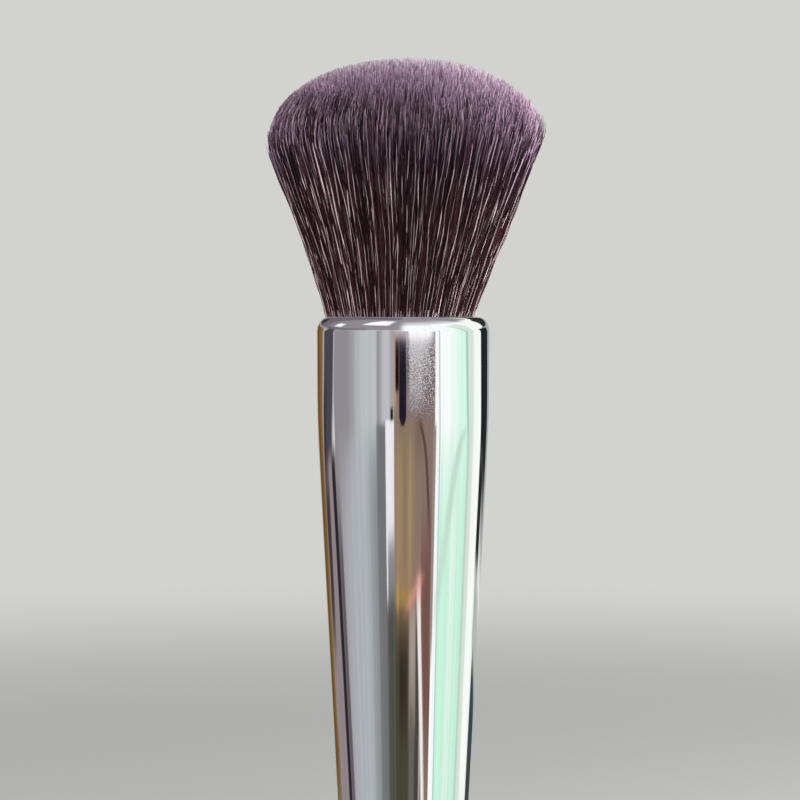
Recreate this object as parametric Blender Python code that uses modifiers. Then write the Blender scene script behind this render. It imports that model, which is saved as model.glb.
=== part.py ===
"""Makeup brush: a dense domed head of bristles in the mouth of a bright plated handle.

The brush stands upright on its end cap. Z runs up the handle towards the bristles, the origin
is the middle of the foot, and every length is in metres. The tied and glued bundle of roots
sits in a drawn cup, the cup sits in the handle's mouth, a sleeve backs the cup from inside
and holds a steel weight down, and a plug closes the lower end.
"""

from math import cos, pi, sin, sqrt, tau

import bmesh
import bpy
import numpy as np

# Handle, from the foot up to the rim round its mouth
HANDLE_LENGTH = 0.1280
MOUTH_RADIUS = 0.0120
BUTT_RADIUS = 0.0060
SHOULDER_DEPTH = 0.0140
SHOULDER_EASING = 0.0035

# Wall of the mouth, its rounded lip, and the ledge where the wall thickens below the cup
MOUTH_WALL = 0.0018
LIP_EDGE = 0.0002
LIP_DROP = 0.0020
LEDGE_WIDTH = 0.0004

# End cap and its glued spigot
CAP_HEIGHT = 0.0035
FOOT_ROUNDING = 0.0010
SPIGOT_LENGTH = 0.0060
GLUE_GROOVE_WIDTH = 0.0012
GLUE_GROOVE_DEPTH = 0.0004

# Weight and sleeve inside the handle
WEIGHT_LENGTH = 0.0400
WEIGHT_CHAMFER = 0.0006
SLEEVE_WALL = 0.0012

# Cup, resin and thread that hold the bundle of roots
CUP_RIM_DEPTH = 0.0020
CUP_WALL = 0.00035
CRIMP_WIDTH = 0.0012
CRIMP_INSET = 0.00035
RESIN_DEPTH = 0.0025
RESIN_SLICE = 0.0020
BLOCK_COLLAR = 0.0012
THREAD_RADIUS = 0.00025
THREAD_SPACE = 0.0005
THREAD_TURNS = 5
THREAD_STEPS = 24

# Head of bristles, whose heights count from the rim
BUNDLE_CLEARANCE = 0.0004
WIDEST_RADIUS = 0.0193
WIDEST_HEIGHT = 0.0237
DOME_RISE = 0.0122
DOME_SQUARENESS = 2.2
DOME_SAMPLES = 900
HEAD_LEAN = 0.0004

# Strands of the head
STRAND_COUNT = 390
STRAND_SIDES = 3
STRAND_FILL_SHARE = 0.36
ROOT_SINK = 0.0006
TIP_VARIATION = 0.0004
SHOULDER_SHARE = 0.93
TIP_WIDTH_SHARE = 0.40

# Gap between pieces that are seated in each other
FIT_GAP = 0.0003

# Facets of the turned pieces
ROUND_STEPS = 48
ROUNDING_STEPS = 5
SHARP_ANGLE = 0.6
MERGE_DISTANCE = 0.00001
MILLIMETRES = 1000

# Radii that follow from the fits in the mouth
TAPER = (MOUTH_RADIUS - BUTT_RADIUS) / (HANDLE_LENGTH - SHOULDER_DEPTH)
BORE_RADIUS = MOUTH_RADIUS - MOUTH_WALL
LIP_WIDTH = MOUTH_WALL - LIP_EDGE
SHELL_WALL = MOUTH_WALL + LEDGE_WIDTH
CUP_OUTER = BORE_RADIUS - FIT_GAP
CUP_INNER = CUP_OUTER - CUP_WALL
RESIN_RADIUS = CUP_INNER - FIT_GAP
WAIST_RADIUS = RESIN_RADIUS - 2 * THREAD_RADIUS - FIT_GAP
THREAD_PATH_RADIUS = WAIST_RADIUS + FIT_GAP + THREAD_RADIUS
THREAD_PITCH = 2 * THREAD_RADIUS + THREAD_SPACE
THREAD_SPAN = THREAD_PITCH * THREAD_TURNS + 2 * THREAD_RADIUS
BUNDLE_RADIUS = BORE_RADIUS - BUNDLE_CLEARANCE
STRAND_RADIUS = STRAND_FILL_SHARE * BUNDLE_RADIUS * sqrt(pi / STRAND_COUNT)
HEAD_HEIGHT = WIDEST_HEIGHT + DOME_RISE

# Heights of the roots' pieces, from the resin's face down to the ledge
RESIN_TOP = HANDLE_LENGTH - RESIN_DEPTH
SLICE_BOTTOM = RESIN_TOP - RESIN_SLICE
BLOCK_TOP = SLICE_BOTTOM - FIT_GAP
CRIMP_HEIGHT = BLOCK_TOP - BLOCK_COLLAR - CRIMP_WIDTH / 2
WAIST_TOP = CRIMP_HEIGHT - CRIMP_WIDTH / 2 - BLOCK_COLLAR
WAIST_BOTTOM = WAIST_TOP - THREAD_SPAN - 2 * FIT_GAP
BLOCK_BOTTOM = WAIST_BOTTOM - BLOCK_COLLAR
CUP_TOP = HANDLE_LENGTH - CUP_RIM_DEPTH
CUP_FLOOR = BLOCK_BOTTOM - FIT_GAP
CUP_BOTTOM = CUP_FLOOR - CUP_WALL
LEDGE = CUP_BOTTOM - FIT_GAP

# Heights of the lower pieces, from the foot up to the sleeve
SHELL_END = CAP_HEIGHT + FIT_GAP
SPIGOT_TOP = CAP_HEIGHT + SPIGOT_LENGTH
WEIGHT_BOTTOM = SPIGOT_TOP + FIT_GAP
WEIGHT_TOP = WEIGHT_BOTTOM + WEIGHT_LENGTH
SLEEVE_BOTTOM = WEIGHT_TOP + FIT_GAP


def clear_scene():
    """Remove whatever objects the scene holds."""
    for thing in list(bpy.data.objects):
        bpy.data.objects.remove(thing, do_unlink=True)


def new_collection(name):
    """Make a collection under the scene's own."""
    group = bpy.data.collections.new(name)
    bpy.context.scene.collection.children.link(group)
    return group


def finish(name, colour, roughness, metallic=0.0):
    """Make a plain material of one Principled shader."""
    material = bpy.data.materials.new(name)
    material.use_nodes = True
    shader = material.node_tree.nodes["Principled BSDF"]
    shader.inputs["Base Color"].default_value = (*colour, 1)
    shader.inputs["Roughness"].default_value = roughness
    shader.inputs["Metallic"].default_value = metallic
    material.diffuse_color = (*colour, 1)
    return material


def meshed(thing):
    """Replace an object's curve or modifiers by the mesh that they give, with its seams welded."""
    graph = bpy.context.evaluated_depsgraph_get()
    mesh = bpy.data.meshes.new_from_object(thing.evaluated_get(graph))
    welded = bmesh.new()
    welded.from_mesh(mesh)
    bmesh.ops.remove_doubles(welded, verts=welded.verts, dist=MERGE_DISTANCE)
    bmesh.ops.recalc_face_normals(welded, faces=welded.faces)
    welded.to_mesh(mesh)
    welded.free()
    result = bpy.data.objects.new(thing.name, mesh)
    result.matrix_world = thing.matrix_world
    for group in thing.users_collection:
        group.objects.link(result)
    name = thing.name
    bpy.data.objects.remove(thing, do_unlink=True)
    result.name = name
    return result


def turned(name, outline, group, closed=False):
    """Turn an outline of (radius, height) points, outer side top to bottom, about the Z axis."""
    mesh = bpy.data.meshes.new(name)
    points = [(radius, 0, height) for radius, height in outline]
    edges = [(index, index + 1) for index in range(len(points) - 1)]
    if closed:
        edges.append((len(points) - 1, 0))
    mesh.from_pydata(points, edges, [])
    thing = bpy.data.objects.new(name, mesh)
    group.objects.link(thing)
    screw = thing.modifiers.new("turn", "SCREW")
    screw.axis = "Z"
    screw.steps = ROUND_STEPS
    screw.render_steps = ROUND_STEPS
    screw.use_merge_vertices = True
    screw.merge_threshold = MERGE_DISTANCE
    thing = meshed(thing)
    thing.data.shade_smooth()
    thing.data.set_sharp_from_angle(angle=SHARP_ANGLE)
    return thing


def rounded(centre_radius, centre_height, width, drop, start, end):
    """Points along part of an ellipse, from one angle to another, counted from the level."""
    turns = np.linspace(start, end, ROUNDING_STEPS)
    return [(centre_radius + width * cos(turn), centre_height + drop * sin(turn)) for turn in turns]


def handle_radius(height):
    """Outer radius of the handle: straight at the mouth, an eased shoulder, then a straight taper."""
    below = HANDLE_LENGTH - height - SHOULDER_DEPTH
    eased = (below + sqrt(below**2 + SHOULDER_EASING**2)) / 2
    return MOUTH_RADIUS - TAPER * eased


def cavity_radius(height):
    """Radius of the hollow inside the handle, one wall in from the outside."""
    return handle_radius(height) - SHELL_WALL


def stations(top, bottom):
    """Heights of an outline between two ends: close together round the shoulder, none elsewhere."""
    shoulder = HANDLE_LENGTH - SHOULDER_DEPTH
    offsets = np.linspace(3 * SHOULDER_EASING, -3 * SHOULDER_EASING, 2 * ROUNDING_STEPS)
    inner = [shoulder + offset for offset in offsets if bottom < shoulder + offset < top]
    return [top, *inner, bottom]


def handle_shell(group):
    """Bright plated body, open at the mouth and at the lower end."""
    lip_top = HANDLE_LENGTH - LIP_DROP
    outline = rounded(MOUTH_RADIUS - LIP_WIDTH, lip_top, LIP_WIDTH, LIP_DROP, pi / 2, 0)[:-1]
    outline += [(handle_radius(height), height) for height in stations(lip_top, SHELL_END)]
    inside = stations(LEDGE, SHELL_END)[::-1]
    outline += [(cavity_radius(height), height) for height in inside]
    outline.append((BORE_RADIUS, LEDGE))
    edge_top = HANDLE_LENGTH - LIP_EDGE
    outline += rounded(BORE_RADIUS + LIP_EDGE, edge_top, LIP_EDGE, LIP_EDGE, pi, pi / 2)[:-1]
    return turned("handle_shell", outline, group, closed=True)


def end_cap(group):
    """Plug with a flat foot, a rounded foot edge and a spigot with a groove for glue."""
    spigot = cavity_radius(SHELL_END) - FIT_GAP
    groove = spigot - GLUE_GROOVE_DEPTH
    middle = CAP_HEIGHT + SPIGOT_LENGTH / 2
    foot = handle_radius(0) - FOOT_ROUNDING
    outline = [
        (0, SPIGOT_TOP),
        (spigot - GLUE_GROOVE_DEPTH, SPIGOT_TOP),
        (spigot, SPIGOT_TOP - GLUE_GROOVE_DEPTH),
        (spigot, middle + GLUE_GROOVE_WIDTH / 2),
        (groove, middle + GLUE_GROOVE_WIDTH / 2),
        (groove, middle - GLUE_GROOVE_WIDTH / 2),
        (spigot, middle - GLUE_GROOVE_WIDTH / 2),
        (spigot, CAP_HEIGHT),
        (handle_radius(CAP_HEIGHT), CAP_HEIGHT),
    ]
    outline += rounded(foot, FOOT_ROUNDING, FOOT_ROUNDING, FOOT_ROUNDING, 0, -pi / 2)
    outline.append((0, 0))
    return turned("end_cap", outline, group)


def counterweight(group):
    """Turned steel slug that follows the taper of the hollow, chamfered at both ends."""
    top = cavity_radius(WEIGHT_TOP) - FIT_GAP
    bottom = cavity_radius(WEIGHT_BOTTOM) - FIT_GAP
    outline = [
        (0, WEIGHT_TOP),
        (top - WEIGHT_CHAMFER, WEIGHT_TOP),
        (top, WEIGHT_TOP - WEIGHT_CHAMFER),
        (bottom, WEIGHT_BOTTOM + WEIGHT_CHAMFER),
        (bottom - WEIGHT_CHAMFER, WEIGHT_BOTTOM),
        (0, WEIGHT_BOTTOM),
    ]
    return turned("counterweight", outline, group)


def spacer_sleeve(group):
    """Plastic tube between the weight and the cup, following the hollow."""
    heights = stations(LEDGE, SLEEVE_BOTTOM)
    outline = [(cavity_radius(height) - FIT_GAP, height) for height in heights]
    outline += [(radius - SLEEVE_WALL, height) for radius, height in outline[::-1]]
    return turned("spacer_sleeve", outline, group, closed=True)


def crimp(radius):
    """Points of the crimp's inward fold at a wall of this radius, from its upper to its lower end."""
    offsets = np.linspace(-1, 1, ROUNDING_STEPS)
    return [
        (radius - CRIMP_INSET * cos(offset * pi / 2) ** 2, CRIMP_HEIGHT - offset * CRIMP_WIDTH / 2)
        for offset in offsets
    ]


def knot_cup(group):
    """Thin drawn cup with one rolled crimp, closed at the bottom."""
    outline = [(CUP_OUTER, CUP_TOP)]
    outline += crimp(CUP_OUTER)
    outline += [(CUP_OUTER, CUP_BOTTOM + CUP_WALL), (CUP_OUTER - CUP_WALL, CUP_BOTTOM)]
    outline += [(0, CUP_BOTTOM), (0, CUP_FLOOR), (CUP_INNER, CUP_FLOOR)]
    outline += crimp(CUP_INNER)[::-1]
    outline.append((CUP_INNER, CUP_TOP))
    return turned("knot_cup", outline, group, closed=True)


def root_block(group):
    """Resin-set roots with the crimp's groove above and the thread's waist below."""
    outline = [(0, BLOCK_TOP), (RESIN_RADIUS, BLOCK_TOP)]
    outline += crimp(RESIN_RADIUS)
    outline += [(RESIN_RADIUS, WAIST_TOP), (WAIST_RADIUS, WAIST_TOP)]
    outline += [(WAIST_RADIUS, WAIST_BOTTOM), (RESIN_RADIUS, WAIST_BOTTOM)]
    outline += [(RESIN_RADIUS, BLOCK_BOTTOM), (0, BLOCK_BOTTOM)]
    return turned("root_block", outline, group)


def binding_thread(group):
    """One unbroken thread wound round the waist, its turns a pitch apart."""
    count = THREAD_TURNS * THREAD_STEPS + 1
    turns = np.arange(count) / THREAD_STEPS
    lowest = WAIST_BOTTOM + FIT_GAP + THREAD_RADIUS
    across = THREAD_PATH_RADIUS * np.cos(tau * turns)
    along = THREAD_PATH_RADIUS * np.sin(tau * turns)
    places = np.stack([across, along, lowest + THREAD_PITCH * turns], axis=1)
    curve = bpy.data.curves.new("binding_thread", "CURVE")
    curve.dimensions = "3D"
    curve.bevel_depth = THREAD_RADIUS
    curve.bevel_resolution = 1
    curve.use_fill_caps = True
    spline = curve.splines.new("POLY")
    spline.points.add(count - 1)
    for point, place in zip(spline.points, places):
        point.co = (*place, 1)
    thing = bpy.data.objects.new("binding_thread", curve)
    group.objects.link(thing)
    apart = np.linalg.norm(places[:, None] - places[None, :], axis=2)
    steps = np.abs(np.arange(count)[:, None] - np.arange(count)[None, :])
    gap = apart[steps > THREAD_STEPS / 2].min() - 2 * THREAD_RADIUS
    print(f"binding_thread: least gap to itself {gap * MILLIMETRES:.3f} mm")
    return thing


def fan_radius(height):
    """Outer radius of the bundle at a height above the rim: one straight flare from the roots."""
    return BUNDLE_RADIUS + (WIDEST_RADIUS - BUNDLE_RADIUS) * height / WIDEST_HEIGHT


def tip_heights(shares):
    """Height at which a strand that keeps this share of the flare's radius meets the dome."""
    angle = np.linspace(0, pi / 2, DOME_SAMPLES)
    rise = HEAD_HEIGHT - WIDEST_HEIGHT
    dome_height = WIDEST_HEIGHT + rise * np.sin(angle) ** (2 / DOME_SQUARENESS)
    dome_radius = WIDEST_RADIUS * np.cos(angle) ** (2 / DOME_SQUARENESS)
    kept = dome_radius / fan_radius(dome_height)
    return np.interp(shares, kept[::-1], dome_height[::-1])


def strand_section(group):
    """Closed outline of one strand, as a flat curve."""
    curve = bpy.data.curves.new("strand_section", "CURVE")
    curve.dimensions = "2D"
    ring = curve.splines.new("POLY")
    ring.points.add(STRAND_SIDES - 1)
    for side, point in enumerate(ring.points):
        turn = tau * side / STRAND_SIDES
        point.co = (STRAND_RADIUS * cos(turn), STRAND_RADIUS * sin(turn), 0, 1)
    ring.use_cyclic_u = True
    thing = bpy.data.objects.new("strand_section", curve)
    group.objects.link(thing)
    hide(thing)
    return thing


def hide(thing):
    """Mark an object as a guide or a cutter."""
    thing.hide_render = True
    thing.display_type = "WIRE"


def strands(group):
    """The bundle of strands, evenly spread over the roots' disc and fanned out to the dome.

    A strand keeps its angle and its share of the flare's radius all the way up, so no two
    strands cross. It runs straight from the resin to its shoulder and narrows to its tip.
    Its width grows with the flare, so the bundle stays as full at the top.
    """
    chance = np.random.default_rng(11)
    order = np.arange(STRAND_COUNT) + 0.5
    shares = np.sqrt(order / STRAND_COUNT)
    angles = order * pi * (3 - sqrt(5))
    tips = tip_heights(shares) - TIP_VARIATION * chance.random(STRAND_COUNT)
    inset = 1 - TIP_WIDTH_SHARE * STRAND_RADIUS / BUNDLE_RADIUS
    curve = bpy.data.curves.new("bristle_strands", "CURVE")
    curve.dimensions = "3D"
    curve.bevel_mode = "OBJECT"
    curve.bevel_object = strand_section(group)
    curve.use_fill_caps = True
    for share, angle, tip in zip(shares, angles, tips):
        heights = [-RESIN_DEPTH - ROOT_SINK, tip * SHOULDER_SHARE, tip]
        radii = [fan_radius(height) for height in heights]
        widths = [radius / BUNDLE_RADIUS for radius in radii]
        widths[-1] *= TIP_WIDTH_SHARE
        spline = curve.splines.new("POLY")
        spline.points.add(len(heights) - 1)
        for point, height, radius, width in zip(spline.points, heights, radii, widths):
            out = share * inset * radius
            lean = HEAD_LEAN * max(height, 0) / HEAD_HEIGHT
            place = (out * cos(angle) + lean, out * sin(angle), HANDLE_LENGTH + height, 1)
            point.co = place
            point.radius = width
    thing = bpy.data.objects.new("bristle_strands", curve)
    group.objects.link(thing)
    thing = meshed(thing)
    hide(thing)
    return thing


def bristles(group, cutters):
    """Slice of resin with every strand fused into it."""
    outline = [(0, RESIN_TOP), (RESIN_RADIUS, RESIN_TOP)]
    outline += [(RESIN_RADIUS, SLICE_BOTTOM), (0, SLICE_BOTTOM)]
    thing = turned("bristles", outline, group)
    join = thing.modifiers.new("strands", "BOOLEAN")
    join.operation = "UNION"
    join.solver = "EXACT"
    join.object = strands(cutters)
    return thing


def main():
    """Build every piece and give it its finish."""
    clear_scene()
    group = new_collection("makeup_brush")
    cutters = new_collection("cutters")
    finishes = [
        (bristles(group, cutters), finish("plum_fibre", (0.16, 0.10, 0.14), 0.45)),
        (root_block(group), finish("amber_resin", (0.35, 0.22, 0.10), 0.25)),
        (binding_thread(group), finish("waxed_thread", (0.70, 0.66, 0.58), 0.80)),
        (knot_cup(group), finish("drawn_aluminium", (0.80, 0.80, 0.80), 0.35, 1.0)),
        (handle_shell(group), finish("bright_plating", (0.86, 0.87, 0.88), 0.06, 1.0)),
        (spacer_sleeve(group), finish("white_plastic", (0.75, 0.75, 0.73), 0.50)),
        (counterweight(group), finish("turned_steel", (0.55, 0.55, 0.56), 0.40, 1.0)),
        (end_cap(group), finish("bright_plating_cap", (0.86, 0.87, 0.88), 0.06, 1.0)),
    ]
    for thing, material in finishes:
        thing.data.materials.append(material)


main()
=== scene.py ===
"""Makeup brush: its fibres, bright plating, thread and roots, dressed for a close look.

The brush stands upright on its foot at the origin, Z runs up its axis, and every length is in
metres. The pieces are surfaces worked out with numpy round the fitted frame, and the studio is
a pale floor, soft lamps and tinted cards that only the bright metal shows.
"""

from math import atan, cos, pi, radians, sin, sqrt, tan, tau

import bpy
import numpy as np
from bpy.props import FloatProperty, FloatVectorProperty, IntProperty, PointerProperty
from mathutils import Euler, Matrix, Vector


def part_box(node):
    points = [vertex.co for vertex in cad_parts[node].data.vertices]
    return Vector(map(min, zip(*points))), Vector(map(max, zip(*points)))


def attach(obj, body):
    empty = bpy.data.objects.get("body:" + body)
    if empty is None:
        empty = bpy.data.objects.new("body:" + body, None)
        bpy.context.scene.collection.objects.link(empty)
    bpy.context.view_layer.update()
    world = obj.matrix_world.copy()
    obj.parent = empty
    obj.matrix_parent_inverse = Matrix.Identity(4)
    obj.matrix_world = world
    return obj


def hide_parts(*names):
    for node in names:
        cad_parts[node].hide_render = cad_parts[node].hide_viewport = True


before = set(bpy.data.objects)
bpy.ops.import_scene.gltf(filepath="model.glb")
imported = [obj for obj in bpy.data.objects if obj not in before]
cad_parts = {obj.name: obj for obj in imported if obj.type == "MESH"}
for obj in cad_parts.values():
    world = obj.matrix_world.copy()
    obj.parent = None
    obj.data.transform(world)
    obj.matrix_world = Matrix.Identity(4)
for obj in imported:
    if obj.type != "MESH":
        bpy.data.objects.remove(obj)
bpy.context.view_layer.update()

bl_info = {
    "name": "Makeup Brush",
    "version": (1, 0, 0),
    "blender": (4, 5, 0),
    "location": "View3D > Sidebar > Makeup Brush",
    "description": "Builds the fibres, plating, thread and roots of a makeup brush on its frame",
    "category": "Add Mesh",
}

MILLIMETRE = 0.001

# Handle, from the foot up to the rim round its mouth
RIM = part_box("handle_shell")[1].z
SHELL_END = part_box("handle_shell")[0].z
FIT_GAP = 0.0003
MOUTH_RADIUS = 0.0120
BUTT_RADIUS = 0.0060
SHOULDER_DEPTH = 0.0140
SHOULDER_EASING = 0.0035
MOUTH_WALL = 0.0018
LIP_EDGE = 0.0002
LIP_DROP = 0.0020
LEDGE_WIDTH = 0.0004
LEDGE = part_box("knot_cup")[0].z - FIT_GAP
SEAM_ROUNDING = 0.00012
TAPER = (MOUTH_RADIUS - BUTT_RADIUS) / (RIM - SHOULDER_DEPTH)
BORE_RADIUS = MOUTH_RADIUS - MOUTH_WALL
LIP_WIDTH = MOUTH_WALL - LIP_EDGE
SHELL_WALL = MOUTH_WALL + LEDGE_WIDTH
SHARP_ANGLE = 0.6
CURVE_STEPS = 40
EDGE_STEPS = 5
BORE_EDGE_STEPS = 7
HOLLOW_STEPS = (12, 16)

# End cap
CAP_HEIGHT = SHELL_END - FIT_GAP
SPIGOT_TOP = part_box("end_cap")[1].z
FOOT_ROUNDING = 0.0010
GLUE_GROOVE_WIDTH = 0.0012
GLUE_GROOVE_DEPTH = 0.0004
CAP_WALL_STEPS = 6
FOOT_EDGE_STEPS = 14

# Head, whose heights count from the rim
BUNDLE_RADIUS = 0.01025
RESIN_DEPTH = 0.0025
RESIN_SLICE = 0.0020
RESIN_EDGE = 0.0002
RESIN_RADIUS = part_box("root_block")[1].x
RESIN_SIDES = 96
WIDEST_RADIUS = 0.0190
WIDEST_HEIGHT = 0.0237
DOME_RISE = 0.0119
DOME_SQUARENESS = 2.2
DOME_SAMPLES = 900
HEAD_HEIGHT = WIDEST_HEIGHT + DOME_RISE
HEAD_LEAN = 0.0005
ROOT_LEAN = -0.0004
WAIST_SHARE = 0.06
DOME_TILT = 0.004
BEND = 0.0002
COAT_START = 0.84
HEAD_PARTS = 4
HEAD_SEED = 5

# Fibres: steps along them, size and length of their waves, the locks' spread, and the tapers
CORE_STEPS = 7
COAT_STEPS = 17
WISP_STEPS = 13
FEET_STEPS = 5
CRIMP = (0.00015, 0.008)
STRAND_WAVE = (0.00022, 0.018)
WAVE_START = 0.006
LOCK_TILT = 0.00014
LOCK_UNEVENNESS = 0.0002
TIP_TAPER = 0.003
ROOT_TAPER = 0.020
ROOT_WIDTH = 0.78

# Tones: how much of one comes from the lock, where the dark ones end and the pale ones start;
# the pale ones carry painted glints
LOCK_TONE = 0.15
DARK_END = 0.45
PALE_START = 0.62

# Binding thread in the waist of the roots
THREAD_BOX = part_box("binding_thread")
THREAD_RADIUS = 0.00025
THREAD_TURNS = 5
THREAD_PITCH = 0.0010
THREAD_PLIES = 3
THREAD_TWIST = 0.0016
THREAD_STEPS = 96
THREAD_SIDES = 18
PLY_DEPTH = 0.16

# Map that the fibres' finish reads: a column for each tone, and the depth below the tip
FIBRE_MAP = "OFBake"
TONE_COLUMNS = 256
MAP_DEPTH = 0.044

# Patch of painted speckled reflection on the plating: an axis, then where it starts and where it is
# full
SPECKLE_PATCH_EDGES = (
    (0, 0.0002, 0.0014),
    (0, 0.0050, 0.0036),
    (1, 0.0, -0.0020),
    (2, RIM - 0.0170, RIM - 0.0090),
    (2, RIM - 0.0024, RIM - 0.0042),
)

# Tool lines on bare metal: stretch and scale of their noise, then both ends of the roughness
DRAWN_LINES = ((1, 1, 0.04), 2500.0, 0.25, 0.45)
LATHE_RINGS = ((0.02, 0.02, 1), 9000.0, 0.28, 0.50)

# Stage: the floor fades out between two distances, for the camera and for the bright metal
FLOOR_RADIUS = 1.4
FLOOR_SIDES = 64
FLOOR_SHADE = 0.68
SEEN_FADE = (0.20, 0.75)
MIRRORED_FADE = (0.09, 0.15)
CARD_LEVEL = 1.05

GOLDEN_TURN = pi * (3 - sqrt(5))


def shade(code):
    """Turn a screen colour, written as six hexadecimal digits, into the renderer's linear one."""
    screen = np.array([int(code[start : start + 2], 16) for start in (0, 2, 4)]) / 255
    dark = screen / 12.92
    bright = ((screen + 0.055) / 1.055) ** 2.4
    return tuple(float(value) for value in np.where(screen <= 0.04045, dark, bright))


def dimmed(colour, share):
    """Colour times a share of its brightness."""
    return tuple(share * value for value in colour)


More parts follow.
